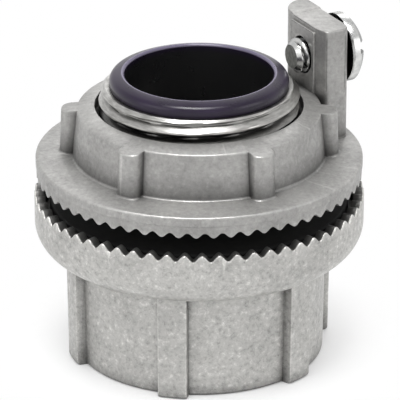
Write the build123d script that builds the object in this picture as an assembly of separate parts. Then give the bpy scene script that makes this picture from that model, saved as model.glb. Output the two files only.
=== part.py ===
from build123d import *
import math
import os

# Grounding conduit hub, 1-inch trade size, die-cast zinc. Millimetres, +Z up.
# The origin is on the hub's axis, in the plane of the conduit entry's mouth.
# Azimuth 0 is the front (-Y) and grows towards +X.

# Threads are drawn at their pitch cylinders
NIPPLE_DIAMETER = 33.4
NIPPLE_PITCH = 2.209
PITCH_DEPTH_RATIO = 0.6495
ENTRY_PITCH_DIAMETER = 31.46
SCREW_DIAMETER = 6.35
FIT = 0.05

# Barrel with its six wrench ribs
BARREL_RADIUS = 20.95
BARREL_DRAFT = 0.25
BARREL_HEIGHT = 18.15
BARREL_EDGE_ROUND = 0.5
RIB_COUNT = 6
RIB_TURN = -11.5
RIB_PROUD = 1.63
RIB_FACE_WIDTH = 4.6
RIB_ROOT_WIDTH = 5.3
RIB_TOP_SINK = 1.4

# Bowl between barrel and toothed rim
RIM_RADIUS = 27.6
RIM_HEIGHT = 8.75
BOWL_RISE = 1.4
BOWL_ROUND = 4.85
BOWL_NECK_ROUND = 0.8
RECESS_DEPTH = 3.4

# Rings of grip teeth on hub and locknut, which bite the box wall
TOOTH_COUNT = 60
TOOTH_ROOT_FLAT = 0.55
TOOTH_CREST_BREAK = 0.25
HUB_TOOTH_DEPTH = 1.1
HUB_TOOTH_FLANK = 57
HUB_TOOTH_TURN = 1.0
HUB_TOOTH_BAND = 1.8
NUT_TOOTH_DEPTH = 0.85
NUT_TOOTH_FLANK = 51
NUT_TOOTH_TURN = -1.0
NUT_TOOTH_BAND = 2.0
WALL_GAP = 3.0

# Nipple above the recess, the conductors' way and the conduit entry
NIPPLE_LENGTH = 22.2
NIPPLE_END_CHAMFER = 0.4
WAY_STEP = 0.2
ENTRY_DEPTH = 18.0
ENTRY_MOUTH_CHAMFER = 1.2
STOP_CONE_HEIGHT = 1.5

# Insulating throat liner with a lip that hides the nipple's inner edge
THROAT_RADIUS = 12.4
LINER_WALL = 1.25
LINER_SEAT_DEPTH = 10.0
LIP_OVERHANG = 1.2
LIP_HEIGHT = 2.4
LIP_FALL = 0.75
LIP_OUTER_ROUND = 0.7
LIP_INNER_EDGE = 0.35

# Sealing ring in the recess
RING_THICKNESS = 2.6
RING_GAP = 0.8

# Locknut flange and collar
RIM_STEP = 0.3
FLANGE_THICKNESS = 3.65
FLANGE_UNDERCUT = 1.3
FLANGE_RISE = 0.25
FLANGE_EDGE_ROUND = 0.35
COLLAR_WALL = 4.45
COLLAR_DRAFT = 0.79
COLLAR_HEIGHT = 8.0
COLLAR_CROWN = 0.85
COLLAR_ROUND = 0.8
COUNTERBORE_CLEARANCE = 0.6
COUNTERBORE_DEPTH = 1.8
COUNTERBORE_CONE_HEIGHT = 0.9
COLLAR_RIB_COUNT = 6
COLLAR_RIB_TURN = 28.5
COLLAR_RIB_PROUD = 2.9
COLLAR_RIB_WIDTH = 4.5
COLLAR_RIB_DRAFT_ANGLE = 2.3
COLLAR_RIB_CORNER_ROUND = 1.2
COLLAR_RIB_TOP_ROUND = 0.5
COLLAR_RIB_TOP_DROP = 0.05

# Ground lug: its thickness is along the radius, near and far are to both sides of the screw
LUG_TURN = 118.5
LUG_SETBACK = 1.9
LUG_THICKNESS = 5.4
LUG_HEIGHT = 19.75
LUG_NEAR_WIDTH = 6.45
LUG_FAR_WIDTH = 8.9
LUG_NEAR_TAPER = 0.7
LUG_NEAR_INNER_ROUND = 0.5
LUG_NEAR_OUTER_ROUND = 1.9
LUG_FAR_OUTER_ROUND = 0.75
LUG_FAR_INNER_ROUND = 4.6
LUG_STEP_WIDTH = 3.8
LUG_STEP_HEIGHT = 0.2
PAD_THICKNESS = 0.4
PAD_HALF_WIDTH = 3.7
PAD_TOP_DROP = 0.8

# Ground screw through the lug
SCREW_DROP = 5.9
SCREW_LENGTH = 8.8
SCREW_END_CHAMFER = 0.9
HEAD_GAP = 0.9
HEAD_DIAMETER = 11.8
HEAD_HEIGHT = 4.2
HEAD_EDGE_HEIGHT = 1.2
SLOT_WIDTH = 1.8
SLOT_DEPTH = 2.2
SLOT_TURN = 75

# Reach past a face that a cut goes through
OVER = 1.0

nipple_r = (NIPPLE_DIAMETER - PITCH_DEPTH_RATIO * NIPPLE_PITCH) / 2
entry_r = ENTRY_PITCH_DIAMETER / 2
screw_r = SCREW_DIAMETER / 2
barrel_top_r = BARREL_RADIUS + BARREL_DRAFT
recess_r = RIM_RADIUS - HUB_TOOTH_BAND
liner_r = THROAT_RADIUS + LINER_WALL
seat_r = liner_r + FIT
way_r = THROAT_RADIUS + WAY_STEP
flange_r = RIM_RADIUS - RIM_STEP
collar_foot_r = NIPPLE_DIAMETER / 2 + COLLAR_WALL
collar_top_r = collar_foot_r - COLLAR_DRAFT
lug_outer = flange_r - LUG_SETBACK
lug_inner = lug_outer - LUG_THICKNESS

bowl_corner_z = BARREL_HEIGHT + BOWL_RISE
hub_tips_z = bowl_corner_z + RIM_HEIGHT
recess_z = hub_tips_z - RECESS_DEPTH
nipple_top_z = recess_z + NIPPLE_LENGTH
seat_z = nipple_top_z - LINER_SEAT_DEPTH
nut_tips_z = hub_tips_z + WALL_GAP
flange_z = nut_tips_z + FLANGE_THICKNESS
collar_edge_z = flange_z + COLLAR_HEIGHT
lug_foot_z = flange_z - FLANGE_EDGE_ROUND
lug_top_z = flange_z + LUG_HEIGHT
screw_z = lug_top_z - SCREW_DROP


def revolved(corners):
    """Solid of revolution from (radius, height, corner rounding) points."""
    points = [(r, z) for r, z, _ in corners]
    rounds = [rounding for _, _, rounding in corners]
    outline = FilletPolyline(*points, radius=rounds, close=True)
    return revolve(Plane.XZ * make_face(outline), Axis.Z)


def rounded_prism(plane, corners, height, draft_angle=0):
    """Prism on a plane from (x, y, corner rounding) points, narrowing with its draft."""
    points = [(x, y) for x, y, _ in corners]
    rounds = [rounding for _, _, rounding in corners]
    outline = FilletPolyline(*points, radius=rounds, close=True)
    return extrude(plane * make_face(outline), height, taper=draft_angle)


def at_azimuth(azimuth):
    """Turn that brings a shape drawn along +X to an azimuth about the axis."""
    return Rot(0, 0, azimuth - 90)


def around(shape, count, azimuth):
    """Copies of a shape drawn along +X, evenly round the axis."""
    return [at_azimuth(azimuth + 360 * k / count) * shape for k in range(count)]


def tooth_groove(outer_r, band, depth, flank, tips_z, up):
    """Radial groove between two grip teeth, with a flat root and broken crests."""
    flank_angle = math.radians(flank)
    half_root = TOOTH_ROOT_FLAT / 2
    half_mouth = half_root + depth / math.tan(flank_angle)
    shoulder = half_mouth - TOOTH_CREST_BREAK * math.cos(flank_angle)
    shoulder_depth = TOOTH_CREST_BREAK * math.sin(flank_angle)
    one_side = [
        (half_root, depth),
        (shoulder, shoulder_depth),
        (half_mouth + TOOTH_CREST_BREAK, 0),
        (half_mouth + TOOTH_CREST_BREAK, -OVER),
    ]
    down = -1 if up else 1
    right = [(x, tips_z + down * below) for x, below in one_side]
    left = [(-x, z) for x, z in reversed(right)]
    start = Plane(origin=(outer_r - band - OVER, 0, 0), x_dir=(0, 1, 0), z_dir=(1, 0, 0))
    return extrude(start * make_face(Polyline(*left, *right, close=True)), band + 2 * OVER)


def hub_blank():
    """Barrel, bowl, rim, recess and nipple turned as one casting."""
    return revolved([
        (way_r, 0, 0),
        (BARREL_RADIUS, 0, BARREL_EDGE_ROUND),
        (barrel_top_r, BARREL_HEIGHT, BOWL_NECK_ROUND),
        (RIM_RADIUS, bowl_corner_z, BOWL_ROUND),
        (RIM_RADIUS, hub_tips_z, 0),
        (recess_r, hub_tips_z, 0),
        (recess_r, recess_z, 0),
        (nipple_r, recess_z, 0),
        (nipple_r, nipple_top_z - NIPPLE_END_CHAMFER, 0),
        (nipple_r - NIPPLE_END_CHAMFER, nipple_top_z, 0),
        (way_r, nipple_top_z, 0),
    ])


def wrench_rib():
    """One flat rib of the barrel, leaning outwards with the barrel's draft."""
    def section(barrel_r, height):
        inner = BARREL_RADIUS - OVER
        face = barrel_r + RIB_PROUD
        return Plane.XY.offset(height) * make_face(Polyline(
            (inner, -RIB_ROOT_WIDTH / 2),
            (BARREL_RADIUS, -RIB_ROOT_WIDTH / 2),
            (face, -RIB_FACE_WIDTH / 2),
            (face, RIB_FACE_WIDTH / 2),
            (BARREL_RADIUS, RIB_ROOT_WIDTH / 2),
            (inner, RIB_ROOT_WIDTH / 2),
            close=True,
        ))
    rib = loft([section(BARREL_RADIUS, 0), section(barrel_top_r, BARREL_HEIGHT + RIB_TOP_SINK)])
    foot_edge = rib.edges().filter_by(Axis.Y).group_by(Axis.Z)[0].sort_by(Axis.X)[-1]
    return fillet(foot_edge, BARREL_EDGE_ROUND)


def entry_and_way():
    """Threaded conduit entry with its mouth chamfer and stop, the way and the liner's seat."""
    mouth_r = entry_r + ENTRY_MOUTH_CHAMFER
    return revolved([
        (0, -OVER, 0),
        (mouth_r, -OVER, 0),
        (mouth_r, 0, 0),
        (entry_r, ENTRY_MOUTH_CHAMFER, 0),
        (entry_r, ENTRY_DEPTH, 0),
        (way_r, ENTRY_DEPTH + STOP_CONE_HEIGHT, 0),
        (way_r, seat_z, 0),
        (seat_r, seat_z, 0),
        (seat_r, nipple_top_z + OVER, 0),
        (0, nipple_top_z + OVER, 0),
    ])


def make_hub_body():
    groove = tooth_groove(
        RIM_RADIUS, HUB_TOOTH_BAND, HUB_TOOTH_DEPTH, HUB_TOOTH_FLANK, hub_tips_z, up=True,
    )
    half_tooth = 180 / TOOTH_COUNT
    hub = hub_blank() + around(wrench_rib(), RIB_COUNT, RIB_TURN)
    hub -= around(groove, TOOTH_COUNT, HUB_TOOTH_TURN + half_tooth)
    return hub - entry_and_way()


def make_throat_liner():
    """Moulded bushing whose lip lies on the end of the nipple and falls off outwards."""
    lip_top_z = nipple_top_z + LIP_HEIGHT
    lip_r = seat_r + LIP_OVERHANG
    return revolved([
        (THROAT_RADIUS, seat_z + FIT, 0),
        (liner_r, seat_z + FIT, 0),
        (liner_r, nipple_top_z, 0),
        (lip_r, nipple_top_z, 0),
        (lip_r, lip_top_z - LIP_FALL, LIP_OUTER_ROUND),
        (THROAT_RADIUS + LIP_INNER_EDGE, lip_top_z, 0),
        (THROAT_RADIUS, lip_top_z - LIP_INNER_EDGE, 0),
    ])


def make_sealing_ring():
    """Flat elastomer washer lying in the hub's recess."""
    inner_r = nipple_r + RING_GAP
    outer_r = recess_r - RING_GAP
    return revolved([
        (inner_r, recess_z, 0),
        (outer_r, recess_z, 0),
        (outer_r, recess_z + RING_THICKNESS, 0),
        (inner_r, recess_z + RING_THICKNESS, 0),
    ])


def nut_blank():
    """Flange and collar of the locknut with its bore and counterbore."""
    bore_r = nipple_r + FIT
    counterbore_r = NIPPLE_DIAMETER / 2 + COUNTERBORE_CLEARANCE
    collar_top_z = collar_edge_z + COLLAR_CROWN
    counterbore_z = collar_top_z - COUNTERBORE_DEPTH
    underside_z = nut_tips_z + FLANGE_UNDERCUT
    return revolved([
        (bore_r, underside_z, 0),
        (flange_r - NUT_TOOTH_BAND, underside_z, 0),
        (flange_r - NUT_TOOTH_BAND, nut_tips_z, 0),
        (flange_r, nut_tips_z, 0),
        (flange_r, flange_z, FLANGE_EDGE_ROUND),
        (collar_foot_r, flange_z + FLANGE_RISE, COLLAR_ROUND),
        (collar_top_r, collar_edge_z, COLLAR_ROUND),
        (counterbore_r, collar_top_z, 0),
        (counterbore_r, counterbore_z, 0),
        (bore_r, counterbore_z - COUNTERBORE_CONE_HEIGHT, 0),
    ])


def collar_rib():
    """One rounded driving rib of the locknut's collar, drafted on its three free sides."""
    half = COLLAR_RIB_WIDTH / 2
    face = collar_top_r + COLLAR_RIB_PROUD
    top_z = collar_edge_z - COLLAR_RIB_TOP_DROP
    inner = collar_top_r - 2 * OVER
    rib = rounded_prism(Plane.XY.offset(lug_foot_z), [
        (inner, -half, 0),
        (face, -half, COLLAR_RIB_CORNER_ROUND),
        (face, half, COLLAR_RIB_CORNER_ROUND),
        (inner, half, 0),
    ], top_z - lug_foot_z, COLLAR_RIB_DRAFT_ANGLE)
    top_edges = rib.faces().sort_by(Axis.Z)[-1].edges().sort_by(Axis.X)[1:]
    return fillet(top_edges, COLLAR_RIB_TOP_ROUND)


def ground_lug():
    """Upright post on the flange, rounded in plan, with a low step in its top and a pad
    on its inner face round the screw hole."""
    post = rounded_prism(Plane.XY.offset(lug_foot_z), [
        (lug_inner, -PAD_HALF_WIDTH, 0),
        (lug_inner + LUG_NEAR_TAPER, -LUG_NEAR_WIDTH, LUG_NEAR_INNER_ROUND),
        (lug_outer, -LUG_NEAR_WIDTH, LUG_NEAR_OUTER_ROUND),
        (lug_outer, LUG_FAR_WIDTH, LUG_FAR_OUTER_ROUND),
        (lug_inner, LUG_FAR_WIDTH, LUG_FAR_INNER_ROUND),
    ], lug_top_z + LUG_STEP_HEIGHT - lug_foot_z)
    post -= Pos(lug_inner - OVER, LUG_STEP_WIDTH, lug_top_z) * Box(
        LUG_THICKNESS + 2 * OVER,
        LUG_STEP_WIDTH + LUG_NEAR_WIDTH + OVER,
        LUG_STEP_HEIGHT + OVER,
        align=(Align.MIN, Align.MAX, Align.MIN),
    )
    pad = Pos(lug_inner - PAD_THICKNESS, 0, collar_edge_z) * Box(
        PAD_THICKNESS + OVER,
        2 * PAD_HALF_WIDTH,
        lug_top_z - PAD_TOP_DROP - collar_edge_z,
        align=(Align.MIN, Align.CENTER, Align.MIN),
    )
    return post + pad - screw_hole()


def screw_hole():
    """Tapped hole through lug and pad."""
    start = lug_inner - PAD_THICKNESS - OVER
    length = LUG_THICKNESS + PAD_THICKNESS + 2 * OVER
    across = Plane(origin=(start, 0, screw_z), x_dir=(0, 1, 0), z_dir=(1, 0, 0))
    return extrude(across * Circle(screw_r + FIT), length)


def make_locknut():
    groove = tooth_groove(
        flange_r, NUT_TOOTH_BAND, NUT_TOOTH_DEPTH, NUT_TOOTH_FLANK, nut_tips_z, up=False,
    )
    half_tooth = 180 / TOOTH_COUNT
    nut = nut_blank() + around(collar_rib(), COLLAR_RIB_COUNT, COLLAR_RIB_TURN)
    nut -= around(groove, TOOTH_COUNT, NUT_TOOTH_TURN + half_tooth)
    return nut + at_azimuth(LUG_TURN) * ground_lug()


def make_ground_screw():
    """Slotted round-head screw lying radially in the lug."""
    head_r = HEAD_DIAMETER / 2
    dome_h = HEAD_HEIGHT - HEAD_EDGE_HEIGHT
    dome_r = (head_r ** 2 + dome_h ** 2) / (2 * dome_h)
    side = make_face([
        Polyline(
            (0, 0),
            (0, -SCREW_LENGTH),
            (screw_r - SCREW_END_CHAMFER, -SCREW_LENGTH),
            (screw_r, -SCREW_LENGTH + SCREW_END_CHAMFER),
            (screw_r, 0),
            (head_r, 0),
            (head_r, HEAD_EDGE_HEIGHT),
        ),
        RadiusArc((head_r, HEAD_EDGE_HEIGHT), (0, HEAD_HEIGHT), -dome_r),
        Line((0, HEAD_HEIGHT), (0, 0)),
    ])
    screw = revolve(Plane.XZ * side, Axis.Z)
    screw -= Rot(0, 0, SLOT_TURN) * Pos(0, 0, HEAD_HEIGHT - SLOT_DEPTH) * Box(
        HEAD_DIAMETER + 2 * OVER, SLOT_WIDTH, SLOT_DEPTH + OVER,
        align=(Align.CENTER, Align.CENTER, Align.MIN),
    )
    seat = lug_outer + HEAD_GAP
    return at_azimuth(LUG_TURN) * Pos(seat, 0, screw_z) * Rot(0, 90, 0) * screw


os.makedirs("parts", exist_ok=True)
export_step(make_hub_body(), "parts/hub_body.step")
export_step(make_throat_liner(), "parts/throat_liner.step")
export_step(make_sealing_ring(), "parts/sealing_ring.step")
export_step(make_locknut(), "parts/locknut.step")
export_step(make_ground_screw(), "parts/ground_screw.step")
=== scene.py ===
"""Grounding conduit hub: finishes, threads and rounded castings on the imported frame."""

import math

import bmesh
import bpy
import numpy as np
from bpy.props import FloatProperty, FloatVectorProperty, IntProperty, PointerProperty
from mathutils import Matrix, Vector


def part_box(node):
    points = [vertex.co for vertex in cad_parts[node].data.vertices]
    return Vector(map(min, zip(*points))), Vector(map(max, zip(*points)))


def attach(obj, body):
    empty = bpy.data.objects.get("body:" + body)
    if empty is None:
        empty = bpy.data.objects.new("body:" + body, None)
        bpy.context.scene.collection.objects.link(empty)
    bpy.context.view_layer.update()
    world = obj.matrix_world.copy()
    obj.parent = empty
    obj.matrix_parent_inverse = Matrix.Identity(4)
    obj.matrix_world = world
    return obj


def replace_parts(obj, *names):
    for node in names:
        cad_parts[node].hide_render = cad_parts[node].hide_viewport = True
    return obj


bl_info = {
    "name": "Conduit Hub",
    "version": (1, 0, 0),
    "blender": (4, 5, 0),
    "location": "View3D > Sidebar > Conduit Hub",
    "description": "Dresses a grounding conduit hub with its threads, castings and finishes",
    "category": "Add Mesh",
}

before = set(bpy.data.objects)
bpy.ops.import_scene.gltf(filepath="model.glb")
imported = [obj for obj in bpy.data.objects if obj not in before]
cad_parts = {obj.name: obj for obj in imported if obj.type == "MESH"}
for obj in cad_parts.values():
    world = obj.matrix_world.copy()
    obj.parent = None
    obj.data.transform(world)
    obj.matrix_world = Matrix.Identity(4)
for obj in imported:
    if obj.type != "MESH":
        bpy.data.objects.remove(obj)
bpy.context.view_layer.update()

# Geometry is worked out in millimetres and put into the meshes in metres
MM = 0.001

# Places read from the frame, in millimetres
HUB_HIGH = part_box("hub_body")[1] / MM
LINER_LOW, LINER_HIGH = (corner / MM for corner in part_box("throat_liner"))
RING_LOW, RING_HIGH = (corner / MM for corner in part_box("sealing_ring"))
NUT_LOW, NUT_HIGH = (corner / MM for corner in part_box("locknut"))

# The hub casting; azimuth 0 is the front (-Y), growing to +X
CASTING_COLUMNS = 1080
TEETH = 60
BARREL_R = 20.95
BARREL_TOP_R = 21.2
BARREL_TOP_Z = 18.15
BOWL_CORNER_Z = 19.55
RIM_R = HUB_HIGH.x
RIM_GUARD_LOW_Z = 25.2
RIM_GUARD_HIGH_Z = 26.6
HUB_TIPS_Z = 28.3
HUB_TOOTH_DEPTH = 1.1
HUB_TOOTH_TURN = math.radians(1)
RECESS_R = 25.8
NECK_R = 15.45
NIPPLE_TOP_Z = HUB_HIGH.z
SEAT_R = 13.7
WAY_R = 12.6
WAY_FOOT_Z = 19.5
STOP_R = 15.7
STOP_Z = 18.0
ENTRY_ROOT_R = 16.4
ENTRY_CHAMFER = 0.5
WRENCH_RIBS = 6
WRENCH_RIB_TURN = math.radians(-11.5)
WRENCH_RIB_HALF_WIDTH = 2.56
WRENCH_RIB_PROUD = 1.63

# The locknut casting
FLANGE_R = -NUT_LOW.x
NUT_TIPS_Z = NUT_LOW.z
NUT_TOOTH_DEPTH = 0.85
NUT_TOOTH_TURN = math.radians(-1)
NUT_BAND_R = 25.3
NUT_BAND_TOP_Z = 32.6
PARTING_STEP = 0.12
PARTING_Z = 33.3
FLANGE_TOP_Z = 34.95
COLLAR_FOOT = (21.15, 35.2)
COLLAR_EDGE = (20.36, 42.95)
COLLAR_MOUTH = (17.3, 43.8)
COLLAR_MOUTH_FLOOR_Z = 42.0
NUT_BORE_R = 16.8
NUT_BORE_TOP_Z = 41.6
COLLAR_RIBS = 6
COLLAR_RIB_TURN = math.radians(28.5)
COLLAR_RIB_HALF_WIDTH = 2.2
COLLAR_RIB_FACE = 23.26
COLLAR_RIB_LEAN = math.tan(math.radians(2.3))
COLLAR_RIB_DROP = 0.2

# The liner and the sealing ring
LINER_R = LINER_HIGH.x
LIP_TOP_Z = LINER_HIGH.z
LINER_BODY_R = 13.65
THROAT_R = 12.4
RING_HOLE_R = 16.8

# The ground lug and its screw at this azimuth; across it, sizes grow with the azimuth
LUG_AZIMUTH = math.radians(118.5)
LUG_INNER = 20.0
LUG_OUTER = 25.4
LUG_NEAR = -6.45
LUG_FAR = 8.9
LUG_NEAR_TAPER = 0.7
LUG_NEAR_INNER_ROUND = 0.5
LUG_NEAR_OUTER_ROUND = 1.9
LUG_FAR_INNER_ROUND = 4.6
LUG_FAR_OUTER_ROUND = 0.75
LUG_TOP_Z = 54.7
LUG_STEP = 3.8
LUG_STEP_HEIGHT = NUT_HIGH.z - LUG_TOP_Z
PAD_HALF_WIDTH = 3.7
PAD_INNER = 19.6
SCREW_AXIS_Z = 48.8
SCREW_SEAT = 26.3
SCREW_LENGTH = 8.8
SCREW_HOLE_R = 3.225


def linear(code):
    """Linear RGBA from an sRGB hex colour."""
    parts = [int(code[i:i + 2], 16) / 255 for i in (1, 3, 5)]
    return (*[c / 12.92 if c <= 0.04045 else ((c + 0.055) / 1.055) ** 2.4 for c in parts], 1.0)


# Shapes

def rounded(corners, steps=6):
    """Closed outline from (radius, height, rounding) corners.

    Each rounded corner is the arc that touches both of its sides: it starts and ends
    rounding * tan(turn / 2) from the corner, and its points turn evenly from one side to the other,
    in two steps and seven more for each millimetre of rounding, up to steps.
    """
    spots = np.array([c[:2] for c in corners], float)
    before = np.roll(spots, 1, axis=0) - spots
    after = np.roll(spots, -1, axis=0) - spots
    before /= np.linalg.norm(before, axis=1)[:, None]
    after /= np.linalg.norm(after, axis=1)[:, None]
    outline = []
    for spot, back, ahead, (_, _, rounding) in zip(spots, before, after, corners):
        if rounding == 0:
            outline.append(spot[None])
            continue
        half = math.acos(np.clip(back @ ahead, -1, 1)) / 2
        middle = (back + ahead) / np.linalg.norm(back + ahead)
        centre = spot + middle * rounding / math.sin(half)
        start = spot + back * rounding / math.tan(half) - centre
        end = spot + ahead * rounding / math.tan(half) - centre
        share = np.linspace(0, 1, min(2 + int(rounding * 7), steps) + 1)[:, None]
        sweep = math.pi - 2 * half
        arc = (np.sin((1 - share) * sweep) * start + np.sin(share * sweep) * end) / math.sin(sweep)
        outline.append(centre + arc)
    return np.vstack(outline)


def turned(radius, height, azimuth):
    """Points of a turned surface: x = radius * sin(azimuth), y = -radius * cos(azimuth), z = height."""
    radius, height, azimuth = np.broadcast_arrays(radius, height, azimuth)
    return np.stack([radius * np.sin(azimuth), -radius * np.cos(azimuth), height], axis=-1)


def circle_of(columns):
    """Azimuths of that many columns, evenly round the axis."""
    return np.arange(columns) * 2 * math.pi / columns


def shell(name, grids, material, sharp=35):
    """Object made of closed surfaces, each a grid of points that closes on itself both ways."""
    mesh = bpy.data.meshes.new(name)
    points, quads, start = [], [], 0
    for grid in grids:
        rows, columns = grid.shape[:2]
        index = start + np.arange(rows * columns).reshape(rows, columns)
        index = np.pad(index, ((0, 1), (0, 1)), mode="wrap")
        quads.append(np.stack([index[:-1, :-1], index[:-1, 1:], index[1:, 1:], index[1:, :-1]], -1))
        points.append(grid.reshape(-1, 3))
        start += rows * columns
    points = np.vstack(points) * MM
    quads = np.vstack([q.reshape(-1, 4) for q in quads])
    mesh.vertices.add(len(points))
    mesh.vertices.foreach_set("co", points.astype(np.float32).ravel())
    mesh.loops.add(quads.size)
    mesh.loops.foreach_set("vertex_index", quads.astype(np.int32).ravel())
    mesh.polygons.add(len(quads))
    mesh.polygons.foreach_set("loop_start", np.arange(0, quads.size, 4, dtype=np.int32))
    mesh.update(calc_edges=True)
    close_up(mesh, sharp)
    mesh.materials.append(material)
    piece = bpy.data.objects.new(name, mesh)
    bpy.context.scene.collection.objects.link(piece)
    return piece


def close_up(mesh, sharp):
    """Merges seams and poles, turns all faces outwards and smooths all but sharp edges."""
    work = bmesh.new()
    work.from_mesh(mesh)
    bmesh.ops.remove_doubles(work, verts=work.verts, dist=0.002 * MM)
    bmesh.ops.dissolve_degenerate(work, edges=work.edges, dist=0.001 * MM)
    bmesh.ops.recalc_face_normals(work, faces=work.faces)
    work.to_mesh(mesh)
    work.free()
    mesh.polygons.foreach_set("use_smooth", np.ones(len(mesh.polygons), bool))
    mesh.set_sharp_from_angle(angle=math.radians(sharp))


def face_middles(piece):
    """Middles of a piece's faces, in millimetres."""
    middles = np.empty(len(piece.data.polygons) * 3)
    piece.data.polygons.foreach_get("center", middles)
    return middles.reshape(-1, 3) / MM


def second_finish(piece, material, chosen):
    """Gives the chosen faces of a piece another material than the rest."""
    piece.data.materials.append(material)
    piece.data.polygons.foreach_set("material_index", chosen.astype(np.int32))


def thread_height(turns, crest, root):
    """Height of a thread, 0 at its root to 1 at its crest, over the turns counted from a crest.

    Within one turn the crest is flat for the share crest, the root for the share root, and the two
    flanks between them are straight.
    """
    off_crest = np.abs(turns - np.round(turns))
    flank = (1 - crest - root) / 2
    return 1 - np.clip((off_crest - crest / 2) / flank, 0, 1)


def thread_sleeve(major_r, depth, pitch, low, high, crest_at, wall_r, chamfer, columns, inward=False):
    """Closed sleeve with a right-handed thread on one side and a plain wall at wall_r on the other.

    Its rows are level rings. The radius of the threaded side follows thread_height over
    (height - crest_at) / pitch - azimuth / full turn, and a cone at each end cuts the crests back.
    """
    azimuth = circle_of(columns)
    rows = int((high - low) / pitch * 14)
    height = np.linspace(low, high, rows)[:, None]
    turns = (height - crest_at) / pitch - azimuth / (2 * math.pi)
    rise = thread_height(turns, crest=0.16, root=0.12)
    cut = np.minimum(height - low, high - height) + chamfer
    if inward:
        radius = np.maximum(major_r - depth * rise, major_r - cut)
    else:
        radius = np.minimum(major_r - depth * (1 - rise), major_r - depth + cut)
    threaded = turned(radius, height, azimuth)
    ends = turned(wall_r, np.array([[high], [low]]), azimuth)
    return np.concatenate([threaded, ends])


def tooth_wave(azimuth, turn, depth, crest):
    """Depth below the tips of the grip teeth, 0 at a tip to depth at a root.

    It is depth * (1 - ((1 + c) / 2)^crest) with c the cosine of the way from a tip in teeth: a
    plain cosine wave for a crest of 1, with wider crests and narrower roots below that.
    """
    c = np.cos(TEETH * (azimuth - turn))
    return depth * (1 - ((1 + c) / 2) ** crest)


def rib_coverage(azimuth, count, turn, radius, half_width, power):
    """How fully a rib stands at each azimuth, from 1 on its middle to 0 beside it.

    With x the distance across from the middle of the nearest rib over its half width, it is
    (1 - x^power)^(1 / power), a rectangle with rounded corners.
    """
    step = 2 * math.pi / count
    off = (azimuth - turn + step / 2) % step - step / 2
    across = np.minimum(np.abs(radius * np.sin(off)) / half_width, 1)
    return (1 - across ** power) ** (1 / power)


def hub_surface():
    """Hub casting: a rounded outline turned round the axis, with ribs and teeth on it.

    Rows of the barrel's wall move out to the ribs' faces by rib_coverage, and rows of the toothed
    rim go down by tooth_wave.
    """
    azimuth = circle_of(CASTING_COLUMNS)
    # The casting stays this far under the thread sleeve's top and the liner's foot
    clearance = 0.05
    nipple_top = NIPPLE_TOP_Z - clearance
    seat_z = LINER_LOW.z - clearance
    barrel_flare = BARREL_TOP_R - BARREL_R
    outline = rounded([
        (ENTRY_ROOT_R + ENTRY_CHAMFER, 0, 0.1),
        (BARREL_R, 0, 0.55),
        (BARREL_R + barrel_flare * 0.1, BARREL_TOP_Z * 0.1, 0),
        (BARREL_R + barrel_flare * 0.9, BARREL_TOP_Z * 0.9, 0),
        (BARREL_TOP_R, BARREL_TOP_Z, 0.45),
        (RIM_R, BOWL_CORNER_Z, 4.85),
        (RIM_R, RIM_GUARD_LOW_Z, 0),
        (RIM_R, RIM_GUARD_HIGH_Z, 0),
        (RIM_R, HUB_TIPS_Z, 0.26),
        (RECESS_R, HUB_TIPS_Z, 0.18),
        (RECESS_R, RING_LOW.z, 0.4),
        (NECK_R, RING_LOW.z, 0.3),
        (NECK_R, nipple_top, 0),
        (SEAT_R, nipple_top, 0),
        (SEAT_R, seat_z, 0),
        (WAY_R, seat_z, 0.1),
        (WAY_R, WAY_FOOT_Z, 0.4),
        (STOP_R, STOP_Z, 0.1),
        (ENTRY_ROOT_R, STOP_Z, 0),
        (ENTRY_ROOT_R, ENTRY_CHAMFER, 0),
    ], steps=12)
    radius, height = outline[:, :1], outline[:, 1:]
    # Rows on the barrel's wall, with its rounded foot and top
    wall = (radius > 20.3) & (radius < 22.9) & (height < 18.7)
    face = BARREL_R + WRENCH_RIB_PROUD + barrel_flare * height / BARREL_TOP_Z
    coverage = rib_coverage(
        azimuth, WRENCH_RIBS, WRENCH_RIB_TURN, face, WRENCH_RIB_HALF_WIDTH, power=10)
    foot = np.minimum(radius - BARREL_R, 0)
    proud = np.maximum(face + foot - radius, 0)
    toothed = height > HUB_TIPS_Z - 0.3
    return turned(
        radius + wall * coverage * proud,
        height - toothed * tooth_wave(azimuth, HUB_TOOTH_TURN, HUB_TOOTH_DEPTH, crest=0.88),
        azimuth,
    )


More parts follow.
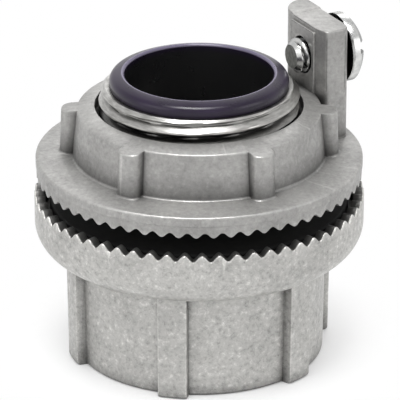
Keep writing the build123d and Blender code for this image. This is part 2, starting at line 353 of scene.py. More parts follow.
def locknut_surface():
    """Locknut casting: a rounded outline turned round the axis, with ribs and teeth on it.

    Rows of the collar's wall move out to the ribs' drafted faces by rib_coverage, with the last of
    them doubled so that a rib's top stays level, and rows of the toothed rim go up by tooth_wave.
    """
    azimuth = circle_of(CASTING_COLUMNS)
    outline = rounded([
        (NUT_BORE_R, NUT_BAND_TOP_Z, 0.1),
        (NUT_BAND_R, NUT_BAND_TOP_Z, 0.1),
        (NUT_BAND_R, NUT_TIPS_Z, 0.12),
        (FLANGE_R - PARTING_STEP, NUT_TIPS_Z, 0.12),
        (FLANGE_R - PARTING_STEP, PARTING_Z, 0.05),
        (FLANGE_R, PARTING_Z + PARTING_STEP, 0.05),
        (FLANGE_R, FLANGE_TOP_Z, 0.4),
        (*COLLAR_FOOT, 0.45),
        (*COLLAR_EDGE, 0.4),
        (*COLLAR_MOUTH, 0.2),
        (COLLAR_MOUTH[0], COLLAR_MOUTH_FLOOR_Z, 0.2),
        (NUT_BORE_R, NUT_BORE_TOP_Z, 0.1),
    ], steps=12)
    radius, height = outline[:, 0], outline[:, 1]
    # Rows on the collar's wall, with its rounded foot and edge
    wall = (radius > 19.5) & (radius < 22.2) & (height > 35.1)
    last = np.flatnonzero(wall)[-1]
    radius = np.insert(radius, last + 1, radius[last])[:, None]
    height = np.insert(height, last + 1, height[last])[:, None]
    wall = np.insert(wall, last + 1, False)[:, None]
    climb = (height - COLLAR_FOOT[1]) / (COLLAR_EDGE[1] - COLLAR_FOOT[1])
    collar = COLLAR_FOOT[0] + (COLLAR_EDGE[0] - COLLAR_FOOT[0]) * climb
    face = COLLAR_RIB_FACE - COLLAR_RIB_LEAN * (height - COLLAR_FOOT[1])
    coverage = rib_coverage(
        azimuth, COLLAR_RIBS, COLLAR_RIB_TURN, face, COLLAR_RIB_HALF_WIDTH, power=2.8)
    # The drop comes in over the last twelfth of the wall
    drop = COLLAR_RIB_DROP * np.clip(climb * 12 - 11, 0, 1)
    toothed = height < NUT_TIPS_Z + 0.2
    return turned(
        radius + wall * coverage * (face - collar),
        height - wall * coverage * drop
        + toothed * tooth_wave(azimuth, NUT_TOOTH_TURN, NUT_TOOTH_DEPTH, crest=1),
        azimuth,
    )


def fall_back(way_in, radius):
    """How far a rounded corner falls back: radius - sqrt(radius^2 - way_in^2)."""
    return radius - np.sqrt(radius ** 2 - np.clip(way_in, 0, radius) ** 2)


def lug_inner_face(across):
    """Inner face of the lug along the rim: straight, tapering at its near end, round at its far."""
    taper = np.clip((-PAD_HALF_WIDTH - across) / (-PAD_HALF_WIDTH - LUG_NEAR), 0, 1)
    near = fall_back(LUG_NEAR + LUG_NEAR_INNER_ROUND - across, LUG_NEAR_INNER_ROUND)
    far = fall_back(across - (LUG_FAR - LUG_FAR_INNER_ROUND), LUG_FAR_INNER_ROUND)
    return LUG_INNER + LUG_NEAR_TAPER * taper + near + far


def lug_outer_face(across):
    """Outer face of the lug along the rim, with its two corners rounded."""
    near = fall_back(LUG_NEAR + LUG_NEAR_OUTER_ROUND - across, LUG_NEAR_OUTER_ROUND)
    far = fall_back(across - (LUG_FAR - LUG_FAR_OUTER_ROUND), LUG_FAR_OUTER_ROUND)
    return LUG_OUTER - near - far


def divided(outline, length):
    """Closed outline with points added so that no side is much longer than length."""
    ahead = np.roll(outline, -1, axis=0)
    parts = np.maximum(np.round(np.linalg.norm(ahead - outline, axis=1) / length), 1).astype(int)
    return np.vstack([a + (b - a) * (np.arange(n) / n)[:, None] for a, b, n in zip(outline, ahead, parts)])


def drilled_block(low, high, inner, outer, edge, corner, step=0.0):
    """Closed block of the lug, round the screw hole.

    Each column is one direction from the screw's axis. Its rows leave the hole on the inner face,
    reach the block's outline, cross to the outer face and come back through the hole; edge rounds
    the outline, inner and outer give the two faces, and step raises the top beyond LUG_STEP.
    """
    outline = divided(rounded([
        (low[0], low[1], 0),
        (high[0], low[1], 0),
        (high[0], high[1], corner),
        (low[0], high[1], corner),
    ]), 0.35)
    rise = step * np.clip((outline[:, 0] - LUG_STEP) / 0.12 + 0.5, 0, 1)
    outline[:, 1] += rise * (outline[:, 1] > high[1] - corner - 0.01)
    rim = outline - (0, SCREW_AXIS_Z)
    unit = rim / np.linalg.norm(rim, axis=1)[:, None]
    hole = unit * SCREW_HOLE_R
    # The rows crowd towards the outline
    share = 1 - np.array([1, 0.85, 0.7, 0.56, 0.42, 0.3, 0.2, 0.13, 0.08, 0.045])[:, None, None]
    face = hole + (rim - hole) * share
    turn = np.linspace(0, math.pi / 2, 5)[:, None]
    inset = edge * (1 - np.sin(turn))
    depth = edge * (1 - np.cos(turn))
    bend = rim - unit * inset[..., None]
    rows = [
        (face, inner(face[..., 0])),
        (bend, inner(bend[..., 0]) + depth),
        (bend[::-1], outer(bend[::-1][..., 0]) - depth[::-1]),
        (face[::-1], outer(face[::-1][..., 0])),
    ]
    across = np.vstack([place[..., 0] for place, _ in rows])
    up = np.vstack([place[..., 1] for place, _ in rows])
    out = np.vstack([depth_out for _, depth_out in rows])
    return along_screw(across, up, out - SCREW_SEAT)


def along_screw(across, up, out):
    """Places points given across the lug, up and outwards from the screw head's seat."""
    outwards = np.array([math.sin(LUG_AZIMUTH), -math.cos(LUG_AZIMUTH), 0])
    sideways = np.array([math.cos(LUG_AZIMUTH), math.sin(LUG_AZIMUTH), 0])
    upwards = np.array([0, 0, 1])
    across, up, out = np.broadcast_arrays(across, up, out)
    place = outwards * SCREW_SEAT + upwards * SCREW_AXIS_Z
    return place + across[..., None] * sideways + up[..., None] * upwards + out[..., None] * outwards


def screw_head(radius, edge, dome, slot_width, slot_depth, turn, edge_round):
    """Slotted round head.

    Rows are chords parallel to the slot, at distances from the axis that step over each slot wall
    twice. Along a chord of half length w the top is edge + (dome - edge) * (1 - (d / radius)^2),
    with d the distance from the axis, cut down to the slot's floor between the slot's walls.
    """
    half = slot_width / 2
    outer = radius * np.sin(np.linspace(0.02, 1, 14) * math.pi / 2)
    outer = outer[outer > half * 1.15]
    lip = 0.06
    side = np.concatenate([[half - 0.001, half, half + lip], outer])
    chord = np.concatenate([-side[::-1], [-half * 0.5, 0, half * 0.5], side])[:, None]
    reach = np.sqrt(np.maximum(radius ** 2 - chord ** 2, 0))
    share = np.sin(np.linspace(-1, 1, 25) * math.pi / 2)
    along = reach * share
    distance = np.hypot(along, chord) / radius
    top = edge + (dome - edge) * (1 - distance ** 2)
    top = np.where(np.abs(chord) >= half + lip, top, top - lip * 0.6 * (np.abs(chord) >= half))
    floor = dome - slot_depth
    top = np.where(np.abs(chord) < half, np.minimum(top, floor), top)
    top[:, [0, -1]] = np.minimum(top[:, [0, -1]], edge)
    under_share = share[::-1] * (1 - edge_round / radius)
    under = reach * under_share
    across = np.hstack([along, reach, under, -reach])
    out = np.hstack([top, np.full_like(reach, edge_round), np.zeros_like(under),
                     np.full_like(reach, edge_round)])
    level = np.broadcast_to(chord, across.shape)
    return along_screw(
        across * math.cos(turn) - level * math.sin(turn),
        across * math.sin(turn) + level * math.cos(turn),
        out,
    )


# Materials

WHITE = (1.0, 1.0, 1.0, 1.0)
MULTIPLY = {"data_type": "RGBA", "blend_type": "MULTIPLY", "Factor": 1.0}


def add(tree, kind, settings=None, **links):
    """Adds a node, sets its sockets or own settings by name, and links its sockets by name.

    Where several sockets have one name, the name means the first, and the others go by their
    identifiers. In links, _ stands for a space, and a node as a source means its first enabled
    output. The setting stops holds a colour ramp's (position, colour) pairs.
    """
    node = tree.nodes.new(kind)
    sockets = {socket.identifier: socket for socket in node.inputs}
    sockets.update({socket.name: socket for socket in reversed(list(node.inputs))})
    for name, value in (settings or {}).items():
        if name == "stops":
            elements = node.color_ramp.elements
            while len(elements) < len(value):
                elements.new(0.5)
            for element, (position, colour) in zip(elements, value):
                element.position = position
                element.color = colour
        elif name in sockets:
            sockets[name].default_value = value
        else:
            setattr(node, name, value)
    for name, source in links.items():
        if isinstance(source, bpy.types.Node):
            source = next(output for output in source.outputs if output.enabled)
        tree.links.new(source, sockets[name if name in sockets else name.replace("_", " ")])
    return node


def new_material(name):
    """Empty material with its node tree."""
    material = bpy.data.materials.new(name)
    material.use_nodes = True
    material.node_tree.nodes.clear()
    return material, material.node_tree


def per_metre(size_mm):
    """Noise scale whose features are that many millimetres across."""
    return 1 / (size_mm * MM)


def shade(colour, share):
    """Linear colour made darker or paler by a share."""
    return (*[c * share for c in colour[:3]], 1.0)


def as_cast_zinc(name, colour, marking, shade_reach_mm, foot_mm=None):
    """Die-cast zinc alloy as it leaves the die, tumbled but bare.

    The skin is a light neutral grey, dull rather than mirror bright, grained by the tumbling media
    and nicked by the other castings in the tumbler. Edges are paler, partly from wear and partly as a
    painted highlight, and corners and hollows get painted shade, as does the foot of a wall that
    rises from a ledge at the height foot_mm.
    """
    material, tree = new_material(name)
    place = add(tree, "ShaderNodeTexCoord").outputs["Object"]
    cloud = add(tree, "ShaderNodeTexNoise", {"Scale": per_metre(7), "Detail": 3, "Roughness": 0.5},
                Vector=place)
    grain = add(tree, "ShaderNodeTexNoise", {"Scale": per_metre(0.9), "Detail": 4, "Roughness": 0.75},
                Vector=place)
    knock = add(tree, "ShaderNodeTexNoise", {"Scale": per_metre(2.4), "Detail": 2, "Distortion": 1.6},
                Vector=place)
    skin = add(tree, "ShaderNodeValToRGB", {"stops": [
        (0.30, shade(colour, 1 - 0.42 * marking)), (0.46, shade(colour, 0.97)),
        (0.56, shade(colour, 1.03)), (0.70, shade(colour, 1 + 0.55 * marking))]}, Fac=grain)
    stain = add(tree, "ShaderNodeValToRGB", {"stops": [(0.32, shade(WHITE, 0.84)), (0.6, WHITE)]},
                Fac=cloud)
    nicks = add(tree, "ShaderNodeValToRGB", {"stops": [
        (0.475, WHITE), (0.49, shade(WHITE, 1 - 0.35 * marking ** 2)), (0.505, WHITE)]}, Fac=knock)
    # Edges paler, partly from wear and partly as a painted highlight; concave creases darker as painted
    # shade
    edge = add(tree, "ShaderNodeNewGeometry").outputs["Pointiness"]
    edge_wear_and_painted_light = add(tree, "ShaderNodeValToRGB", {"stops": [
        (0.44, shade(WHITE, 0.6)), (0.49, WHITE), (0.515, WHITE), (0.55, shade(WHITE, 1.3))]}, Fac=edge)
    # Painted shade: darker where other surfaces lie close, in hollows and between parts
    openness = add(tree, "ShaderNodeAmbientOcclusion", {"Distance": shade_reach_mm * MM, "samples": 8})
    painted_shade = add(tree, "ShaderNodeValToRGB", {"stops": [(0.25, shade(WHITE, 0.3)), (0.8, WHITE)]},
                Fac=openness.outputs["AO"])
    coats = [stain, nicks, edge_wear_and_painted_light, painted_shade]
    # Painted shade low on a wall, darkest just above the ledge at foot_mm and gone about 4.5 mm up
    if foot_mm:
        height = add(tree, "ShaderNodeSeparateXYZ", Vector=place).outputs["Z"]
        climb = add(tree, "ShaderNodeMapRange", {"From Min": foot_mm * MM, "From Max": (foot_mm + 5) * MM},
                    Value=height)
        coats.append(add(tree, "ShaderNodeValToRGB", {"stops": [
            (0.0, WHITE), (0.07, shade(WHITE, 0.5)), (0.9, WHITE)]}, Fac=climb))
    tint = skin
    for coat in coats:
        tint = add(tree, "ShaderNodeMix", MULTIPLY, A_Color=tint, B_Color=coat)
    dullness = add(tree, "ShaderNodeMapRange", {"From Min": 0.35, "From Max": 0.65, "To Min": 0.5,
                                                "To Max": 0.36}, Value=grain)
    pits = add(tree, "ShaderNodeBump", {"Strength": 0.35 + 0.3 * marking, "Distance": 0.07 * MM},
               Height=grain)
    dents = add(tree, "ShaderNodeBump", {"Strength": 0.6 * marking, "Distance": 0.12 * marking * MM},
                Height=nicks, Normal=pits)
    shader = add(tree, "ShaderNodeBsdfPrincipled", {"Metallic": 0.65}, Base_Color=tint,
                 Roughness=dullness, Normal=dents)
    add(tree, "ShaderNodeOutputMaterial", Surface=shader)
    return material


def cut_zinc(name):
    """Zinc thread cut on a lathe, bright where the tool has taken the casting skin off.

    Fine rings from the tool run round the axis, drawn just coarse enough to show. The colour is
    cleaner than the casting's, and the thread's roots and the gap beside it get painted shade.
    """
    material, tree = new_material(name)
    place = add(tree, "ShaderNodeTexCoord").outputs["Object"]
    rings = add(tree, "ShaderNodeMapping", {"Scale": (0.12, 0.12, 1.0)}, Vector=place)
    marks = add(tree, "ShaderNodeTexNoise", {"Scale": per_metre(0.22), "Detail": 2}, Vector=rings)
    shine = add(tree, "ShaderNodeValToRGB", {"stops": [
        (0.3, linear("#9F9E9B")), (0.7, linear("#C8C7C4"))]}, Fac=marks)
    # Painted shade in the thread's roots and in the narrow gap round it
    openness = add(tree, "ShaderNodeAmbientOcclusion", {"Distance": 2.5 * MM, "samples": 8})
    painted_shade = add(tree, "ShaderNodeValToRGB", {"stops": [(0.35, shade(WHITE, 0.05)), (0.8, WHITE)]},
                Fac=openness.outputs["AO"])
    tint = add(tree, "ShaderNodeMix", MULTIPLY, A_Color=shine, B_Color=painted_shade)
    relief = add(tree, "ShaderNodeBump", {"Strength": 0.25, "Distance": 0.02 * MM}, Height=marks)
    shader = add(tree, "ShaderNodeBsdfPrincipled", {"Metallic": 1.0, "Roughness": 0.28},
                 Base_Color=tint, Normal=relief)
    add(tree, "ShaderNodeOutputMaterial", Surface=shader)
    return material


def moulded_liner(name, colour):
    """Injection-moulded thermoplastic bushing, dark purple and glossy with slight flow lines.

    The moulded lip shows the colour, its inner edge carries a painted highlight as a pale ring, and
    the way inside it is painted nearly black as painted shade.
    """
    material, tree = new_material(name)
    place = add(tree, "ShaderNodeTexCoord").outputs["Object"]
    height = add(tree, "ShaderNodeSeparateXYZ", Vector=place).outputs["Z"]
    level = add(tree, "ShaderNodeVectorMath", {"operation": "MULTIPLY", "Vector_001": (1, 1, 0)},
                Vector=place)
    reach = add(tree, "ShaderNodeVectorMath", {"operation": "LENGTH"}, Vector=level)
    flow = add(tree, "ShaderNodeTexNoise", {"Scale": per_metre(5), "Detail": 3, "Roughness": 0.5},
               Vector=place)
    streak = add(tree, "ShaderNodeValToRGB", {"stops": [(0.35, shade(colour, 0.7)), (0.6, colour)]},
                 Fac=flow)
    # Painted shade: below the lip the way inside the throat is near-black
    above = add(tree, "ShaderNodeMapRange", {"From Min": 48.0 * MM, "From Max": 49.2 * MM}, Value=height)
    outside = add(tree, "ShaderNodeMapRange", {"From Min": (THROAT_R + 0.2) * MM,
                                               "From Max": (THROAT_R + 0.8) * MM}, Value=reach)
    lip = add(tree, "ShaderNodeMath", {"operation": "MAXIMUM"}, Value=above, Value_001=outside)
    body = add(tree, "ShaderNodeMix", {"data_type": "RGBA", "A_Color": linear("#1B1B1C")},
               Factor=lip, B_Color=streak)
    # Painted highlight: a pale ring along the lip's inner edge
    brim = add(tree, "ShaderNodeMapRange", {"From Min": (LIP_TOP_Z - 0.5) * MM,
                                            "From Max": (LIP_TOP_Z - 0.25) * MM}, Value=height)
    mouth = add(tree, "ShaderNodeMapRange", {"From Min": (THROAT_R + 0.6) * MM,
                                             "From Max": (THROAT_R + 0.46) * MM}, Value=reach)
    painted_highlight = add(tree, "ShaderNodeMath", {"operation": "MULTIPLY"}, Value=brim, Value_001=mouth)
    tint = add(tree, "ShaderNodeMix", {"data_type": "RGBA", "B_Color": linear("#6A6479")},
               Factor=painted_highlight, A_Color=body)
    dullness = add(tree, "ShaderNodeMapRange", {"To Min": 0.22, "To Max": 0.36}, Value=flow)
    relief = add(tree, "ShaderNodeBump", {"Strength": 0.1, "Distance": 0.05 * MM}, Height=flow)
    shader = add(tree, "ShaderNodeBsdfPrincipled", {"IOR": 1.5, "Specular IOR Level": 0.4},
                 Base_Color=tint, Roughness=dullness, Normal=relief)
    add(tree, "ShaderNodeOutputMaterial", Surface=shader)
    return material


def moulded_rubber(name):
    """Black elastomer washer, dull, with a faint bloom and its moulding grain drawn coarse."""
    material, tree = new_material(name)
    place = add(tree, "ShaderNodeTexCoord").outputs["Object"]
    bloom = add(tree, "ShaderNodeTexNoise", {"Scale": per_metre(1.4), "Detail": 4}, Vector=place)
    tint = add(tree, "ShaderNodeValToRGB", {"stops": [
        (0.4, linear("#0B0B0B")), (0.7, linear("#1B1B1A"))]}, Fac=bloom)
    relief = add(tree, "ShaderNodeBump", {"Strength": 0.3, "Distance": 0.04 * MM}, Height=bloom)
    shader = add(tree, "ShaderNodeBsdfPrincipled", {"IOR": 1.5, "Roughness": 0.75}, Base_Color=tint,
                 Normal=relief)
    add(tree, "ShaderNodeOutputMaterial", Surface=shader)
    return material


def zinc_plated_steel(name):
    """Bright zinc-plated steel screw, pale grey with a light haze from the plating.

    The haze is drawn coarse enough to show. The screw is bright in the open and has painted shade
    in its slot, its thread and under its head.
    """
    material, tree = new_material(name)
    place = add(tree, "ShaderNodeTexCoord").outputs["Object"]
    haze = add(tree, "ShaderNodeTexNoise", {"Scale": per_metre(1.6), "Detail": 3}, Vector=place)
    shine = add(tree, "ShaderNodeValToRGB", {"stops": [
        (0.3, linear("#BCBDBD")), (0.65, linear("#E0E0DE"))]}, Fac=haze)
    # Painted shade in the slot, the thread and under the head
    openness = add(tree, "ShaderNodeAmbientOcclusion", {"Distance": 3 * MM, "samples": 8})
    painted_shade = add(tree, "ShaderNodeValToRGB", {"stops": [(0.35, shade(WHITE, 0.06)), (0.8, WHITE)]},
                Fac=openness.outputs["AO"])
    tint = add(tree, "ShaderNodeMix", MULTIPLY, A_Color=shine, B_Color=painted_shade)
    dullness = add(tree, "ShaderNodeMapRange", {"To Min": 0.2, "To Max": 0.3}, Value=haze)
    relief = add(tree, "ShaderNodeBump", {"Strength": 0.2, "Distance": 0.02 * MM}, Height=haze)
    shader = add(tree, "ShaderNodeBsdfPrincipled", {"Metallic": 1.0, "Specular Tint": (0.5, 0.5, 0.5, 1)},
                 Base_Color=tint, Roughness=dullness, Normal=relief)
    add(tree, "ShaderNodeOutputMaterial", Surface=shader)
    return material


def sheared_steel(name):
    """End of the screw's wire, sheared before plating, dull grey with the shear's coarse grain."""
    material, tree = new_material(name)
    place = add(tree, "ShaderNodeTexCoord").outputs["Object"]
    tear = add(tree, "ShaderNodeTexNoise", {"Scale": per_metre(0.7), "Detail": 3}, Vector=place)
    tint = add(tree, "ShaderNodeValToRGB", {"stops": [
        (0.35, linear("#6C6D6A")), (0.65, linear("#8E8F8B"))]}, Fac=tear)
    relief = add(tree, "ShaderNodeBump", {"Strength": 0.4, "Distance": 0.05 * MM}, Height=tear)
    shader = add(tree, "ShaderNodeBsdfPrincipled", {"Metallic": 0.7, "Roughness": 0.5},
                 Base_Color=tint, Normal=relief)
    add(tree, "ShaderNodeOutputMaterial", Surface=shader)
    return material


def seen_directly(tree):
    """1 where the camera, a reflection or glass looks at the surface, 0 where it only gives light."""
    path = add(tree, "ShaderNodeLightPath")
    seen = add(tree, "ShaderNodeMath", {"operation": "MAXIMUM"},
               Value=path.outputs["Is Camera Ray"], Value_001=path.outputs["Is Glossy Ray"])
    return add(tree, "ShaderNodeMath", {"operation": "MAXIMUM"},
               Value=seen, Value_001=path.outputs["Is Transmission Ray"])


def shown_white(tree, lit):
    """Mixes a lit surface towards plain white where it is seen directly and lies open to the room."""
    place = add(tree, "ShaderNodeTexCoord").outputs["Object"]
    reach = add(tree, "ShaderNodeVectorMath", {"operation": "LENGTH"}, Vector=place)
    beside = add(tree, "ShaderNodeMapRange", {"From Min": 17 * MM, "From Max": 19 * MM}, Value=reach)
    openness = add(tree, "ShaderNodeAmbientOcclusion", {"Distance": 15 * MM, "samples": 8})
    clear = add(tree, "ShaderNodeMath", {"operation": "MULTIPLY"},
                Value=openness.outputs["AO"], Value_001=beside)
    shown = add(tree, "ShaderNodeMath", {"operation": "MULTIPLY"},
                Value=clear, Value_001=seen_directly(tree))
    white = add(tree, "ShaderNodeEmission", {"Color": WHITE, "Strength": 1.0})
    return add(tree, "ShaderNodeMixShader", Fac=shown, Shader=lit, Shader_001=white)


def studio_floor(name):
    """Matte white sweep under the hub."""
    material, tree = new_material(name)
    place = add(tree, "ShaderNodeTexCoord").outputs["Object"]
    grain = add(tree, "ShaderNodeTexNoise", {"Scale": per_metre(8)}, Vector=place)
    tint = add(tree, "ShaderNodeValToRGB", {"stops": [
        (0.3, linear("#FAFAFA")), (0.7, linear("#FFFFFF"))]}, Fac=grain)
    matte = add(tree, "ShaderNodeBsdfPrincipled", {"Roughness": 0.9}, Base_Color=tint)
    add(tree, "ShaderNodeOutputMaterial", Surface=shown_white(tree, matte))
    return material


def studio_room(name):
    """World that lights the object like a pale room and is seen as a white light tent.

    The tent is white at the horizon and a little darker overhead, which gives metal its shades.
    """
    world = bpy.data.worlds.new(name)
    world.use_nodes = True
    tree = world.node_tree
    tree.nodes.clear()
    way = add(tree, "ShaderNodeTexCoord").outputs["Generated"]
    height = add(tree, "ShaderNodeSeparateXYZ", Vector=way).outputs["Z"]
    shades = add(tree, "ShaderNodeValToRGB", {"stops": [
        (0.0, WHITE), (0.3, shade(WHITE, 0.9)), (0.75, shade(WHITE, 0.7))]}, Fac=height)
    room = add(tree, "ShaderNodeBackground", {"Color": linear("#E8E8E8"), "Strength": 0.45})
    tent = add(tree, "ShaderNodeBackground", {"Strength": 1.0}, Color=shades)
    mixed = add(tree, "ShaderNodeMixShader", Fac=seen_directly(tree), Shader=room, Shader_001=tent)
    add(tree, "ShaderNodeOutputWorld", Surface=mixed)
    return world


# Sizes and colours that a user would change

class HubThreadSizes(bpy.types.PropertyGroup):
    pitch: FloatProperty(
        name="Hub thread pitch", description="Height of one turn of the hub's threads",
        default=25.4 / 11.5 * MM, unit="LENGTH", precision=5)
    depth: FloatProperty(
        name="Hub thread depth", description="Depth of the hub's threads from crest to root",
        default=1.2 * MM, unit="LENGTH", precision=5)
    nipple_crest: FloatProperty(
        name="Nipple crest radius", description="Radius of the nipple over its thread",
        default=16.7 * MM, unit="LENGTH", precision=5)
    columns: IntProperty(
        name="Columns", description="Points round each thread", default=256, min=32)


class HubScrewSizes(bpy.types.PropertyGroup):
    thread_radius: FloatProperty(
        name="Screw radius", description="Radius of the ground screw over its thread",
        default=2.98 * MM, unit="LENGTH", precision=5)
    pitch: FloatProperty(
        name="Screw pitch", description="Height of one turn of the ground screw",
        default=25.4 / 20 * MM, unit="LENGTH", precision=5)
    head_radius: FloatProperty(
        name="Head radius", description="Radius of the round head",
        default=5.9 * MM, unit="LENGTH", precision=5)
    slot_width: FloatProperty(
        name="Slot width", description="Width of the driver slot",
        default=1.8 * MM, unit="LENGTH", precision=5)
    slot_turn: FloatProperty(
        name="Slot turn", description="Turn of the slot about the screw's axis",
        default=math.radians(-15), subtype="ANGLE")


class HubFinishes(bpy.types.PropertyGroup):
    hub: FloatVectorProperty(
        name="Hub casting", description="Main colour of the hub's bare casting", subtype="COLOR",
        size=4, default=linear("#C0BFBC"))
    locknut: FloatVectorProperty(
        name="Locknut casting", description="Main colour of the locknut's bare casting",
        subtype="COLOR", size=4, default=linear("#A5A4A2"))
    liner: FloatVectorProperty(
        name="Liner", description="Main colour of the throat liner", subtype="COLOR", size=4,
        default=linear("#1F142C"))


class CONDUIT_OT_castings(bpy.types.Operator):
    """Give the hub body and the locknut their as-cast zinc skin"""

    bl_idname = "conduit_hub.castings"
    bl_label = "Castings"

    def execute(self, context):
        finishes = context.scene.conduit_finishes
        tumbled = as_cast_zinc("tumbled zinc", finishes.hub, marking=0.8, shade_reach_mm=5)
        piece = shell("hub_casting", [hub_surface()], tumbled)
        # Painted shade: the faces between the teeth, under the locknut's flange, get a dark copy of the
        # hub's zinc
        x, y, z = face_middles(piece).T
        reach = np.hypot(x, y)
        between = (reach > 20) & (reach < RIM_R - 0.27) & (z > 25)
        shadow_painted = as_cast_zinc("untumbled zinc", shade(finishes.hub, 0.25), marking=0.45, shade_reach_mm=5)
        second_finish(piece, shadow_painted, between)
        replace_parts(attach(piece, "hub"), "hub_body")

        post = drilled_block(
            low=(LUG_NEAR, FLANGE_TOP_Z - 0.3), high=(LUG_FAR, LUG_TOP_Z),
            inner=lug_inner_face, outer=lug_outer_face,
            edge=0.22, corner=0.3, step=LUG_STEP_HEIGHT)
        pad = drilled_block(
            low=(-PAD_HALF_WIDTH, COLLAR_EDGE[1]), high=(PAD_HALF_WIDTH, LUG_TOP_Z - 0.8),
            inner=lambda across: np.full_like(across, PAD_INNER),
            outer=lambda across: np.full_like(across, LUG_INNER + 0.3),
            edge=0.15, corner=0.2)
        zinc = as_cast_zinc(
            "die-cast zinc", finishes.locknut, marking=0.45, shade_reach_mm=3, foot_mm=COLLAR_FOOT[1])
        piece = shell("locknut_casting", [locknut_surface(), post, pad], zinc)
        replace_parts(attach(piece, "locknut"), "locknut")
        return {"FINISHED"}


class CONDUIT_OT_threads(bpy.types.Operator):
    """Cut the threads of the nipple and of the conduit entry"""

    bl_idname = "conduit_hub.threads"
    bl_label = "Threads"

    def execute(self, context):
        sizes = context.scene.conduit_threads
        pitch, depth, columns = sizes.pitch / MM, sizes.depth / MM, sizes.columns
        bright = cut_zinc("lathe-cut zinc")
        nipple = thread_sleeve(
            sizes.nipple_crest / MM, depth, pitch, low=25.0, high=NIPPLE_TOP_Z, crest_at=45.08,
            wall_r=14.6, chamfer=0.1, columns=columns)
        piece = shell("nipple_thread", [nipple], bright)
        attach(piece, "hub")
        entry = thread_sleeve(
            ENTRY_ROOT_R - 0.05, depth, pitch, low=ENTRY_CHAMFER, high=STOP_Z - 0.05, crest_at=9.0,
            wall_r=16.8, chamfer=0.3, columns=columns, inward=True)
        piece = shell("entry_thread", [entry], bright)
        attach(piece, "hub")
        return {"FINISHED"}


class CONDUIT_OT_throat(bpy.types.Operator):
    """Mould the throat liner and the sealing ring"""

    bl_idname = "conduit_hub.throat"
    bl_label = "Liner and Ring"

    def execute(self, context):
        azimuth = circle_of(256)
        outline = rounded([
            (THROAT_R, LINER_LOW.z, 0.2),
            (LINER_BODY_R, LINER_LOW.z, 0.2),
            (LINER_BODY_R, NIPPLE_TOP_Z, 0),
            (LINER_R, NIPPLE_TOP_Z, 0.1),
            (LINER_R, LIP_TOP_Z - 0.75, 1.1),
            (THROAT_R + 0.35, LIP_TOP_Z, 0.28),
            (THROAT_R, LIP_TOP_Z - 0.4, 0.3),
        ], steps=12)
        grid = turned(outline[:, :1], outline[:, 1:], azimuth)
        purple = moulded_liner("moulded thermoplastic", context.scene.conduit_finishes.liner)
        piece = shell("throat_bushing", [grid], purple, sharp=60)
        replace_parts(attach(piece, "hub"), "throat_liner")

        outline = rounded([
            (RING_HOLE_R, RING_LOW.z, 0.2),
            (RING_HIGH.x, RING_LOW.z, 0.2),
            (RING_HIGH.x, RING_HIGH.z, 0.5),
            (RING_HOLE_R, RING_HIGH.z, 0.5),
        ])
        grid = turned(outline[:, :1], outline[:, 1:], azimuth)
        piece = shell("sealing_washer", [grid], moulded_rubber("black elastomer"), sharp=60)
        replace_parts(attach(piece, "hub"), "sealing_ring")
        return {"FINISHED"}


class CONDUIT_OT_ground_screw(bpy.types.Operator):
    """Make the slotted ground screw with its thread"""

    bl_idname = "conduit_hub.ground_screw"
    bl_label = "Ground Screw"

    def execute(self, context):
        sizes = context.scene.conduit_screw
        radius, pitch = sizes.thread_radius / MM, sizes.pitch / MM
        thread_depth, tip_chamfer, into_head = 0.75, 0.95, 0.3
        columns = 96
        turn = circle_of(columns)
        out = np.linspace(-SCREW_LENGTH, into_head, int(SCREW_LENGTH / pitch * 12))[:, None]
        rise = thread_height(out / pitch - turn / (2 * math.pi), crest=0.2, root=0.15)
        reach = np.minimum(radius - thread_depth * (1 - rise), radius - tip_chamfer + (out + SCREW_LENGTH))
        shank = along_screw(reach * np.cos(turn), reach * np.sin(turn), out)
        caps = along_screw(np.zeros((2, columns)), np.zeros((2, columns)),
                           np.array([[into_head], [-SCREW_LENGTH]]))
        shank = np.concatenate([shank, caps])
        head = screw_head(
            sizes.head_radius / MM, edge=1.5, dome=4.2, slot_width=sizes.slot_width / MM,
            slot_depth=2.9, turn=sizes.slot_turn, edge_round=0.3)
        piece = shell("slotted_screw", [shank, head], zinc_plated_steel("bright zinc plate"), sharp=40)
        out = face_middles(piece) @ (math.sin(LUG_AZIMUTH), -math.cos(LUG_AZIMUTH), 0)
        second_finish(piece, sheared_steel("sheared screw end"), out < SCREW_SEAT - SCREW_LENGTH + 0.02)
        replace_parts(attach(piece, "ground_screw"), "ground_screw")
        return {"FINISHED"}


def area_lamp(name, place, target, size, power):
    """Rectangular soft lamp at a place, facing a target, in metres and watts."""
    data = bpy.data.lights.new(name, "AREA")
    data.shape = "RECTANGLE"
    data.size, data.size_y = size
    data.energy = power
    lamp = bpy.data.objects.new(name, data)
    lamp.location = place
    lamp.rotation_euler = (Vector(target) - Vector(place)).to_track_quat("-Z", "Y").to_euler()
    bpy.context.scene.collection.objects.link(lamp)


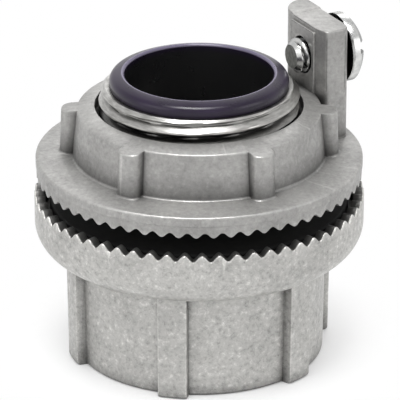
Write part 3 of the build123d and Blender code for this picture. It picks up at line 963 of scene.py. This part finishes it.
class CONDUIT_OT_stage(bpy.types.Operator):
    """Set the white floor, the soft lamps and the camera"""

    bl_idname = "conduit_hub.stage"
    bl_label = "Stage"

    def execute(self, context):
        scene = context.scene
        mesh = bpy.data.meshes.new("floor")
        half = 2.0
        mesh.from_pydata([(-half, -half, 0), (half, -half, 0), (half, half, 0), (-half, half, 0)],
                         [], [(0, 1, 2, 3)])
        floor = bpy.data.objects.new("floor", mesh)
        floor.location.z = -0.00002
        mesh.materials.append(studio_floor("white sweep"))
        scene.collection.objects.link(floor)

        middle = (0, 0, 0.027)
        area_lamp("left panel", (-0.55, -0.35, 0.3), middle, (0.4, 0.4), 0.6)
        area_lamp("right panel", (0.6, -0.25, 0.25), middle, (0.4, 0.4), 0.6)
        area_lamp("top panel", (-0.05, -0.15, 0.65), middle, (0.3, 0.3), 3.9)
        area_lamp("back panel", (0, 0.5, 0.45), middle, (0.3, 0.3), 0.5)

        scene.world = studio_room("studio")

        data = bpy.data.cameras.new("camera")
        data.sensor_width = 36
        data.lens = 369
        data.clip_start, data.clip_end = 0.05, 10
        camera = bpy.data.objects.new("camera", data)
        camera.location = (0.00014, -0.6298, 0.3024)
        aim = Vector((0.00014, 0, 0.026236)) - camera.location
        camera.rotation_euler = aim.to_track_quat("-Z", "Y").to_euler()
        scene.collection.objects.link(camera)
        scene.camera = camera
        scene.view_settings.view_transform = "Standard"
        return {"FINISHED"}


class CONDUIT_PT_hub(bpy.types.Panel):
    """Buttons for each group of pieces and for the stage"""

    bl_label = "Conduit Hub"
    bl_idname = "CONDUIT_PT_hub"
    bl_space_type = "VIEW_3D"
    bl_region_type = "UI"
    bl_category = "Conduit Hub"

    def draw(self, context):
        for operator in OPERATORS:
            self.layout.operator(operator.bl_idname)


OPERATORS = (
    CONDUIT_OT_castings,
    CONDUIT_OT_threads,
    CONDUIT_OT_throat,
    CONDUIT_OT_ground_screw,
    CONDUIT_OT_stage,
)
CLASSES = (HubThreadSizes, HubScrewSizes, HubFinishes, *OPERATORS, CONDUIT_PT_hub)


def register():
    for cls in CLASSES:
        bpy.utils.register_class(cls)
    bpy.types.Scene.conduit_threads = PointerProperty(type=HubThreadSizes)
    bpy.types.Scene.conduit_screw = PointerProperty(type=HubScrewSizes)
    bpy.types.Scene.conduit_finishes = PointerProperty(type=HubFinishes)


def unregister():
    del bpy.types.Scene.conduit_finishes
    del bpy.types.Scene.conduit_screw
    del bpy.types.Scene.conduit_threads
    for cls in reversed(CLASSES):
        bpy.utils.unregister_class(cls)


def main():
    register()
    bpy.ops.conduit_hub.castings()
    bpy.ops.conduit_hub.threads()
    bpy.ops.conduit_hub.throat()
    bpy.ops.conduit_hub.ground_screw()
    bpy.ops.conduit_hub.stage()


if __name__ == "__main__":
    main()
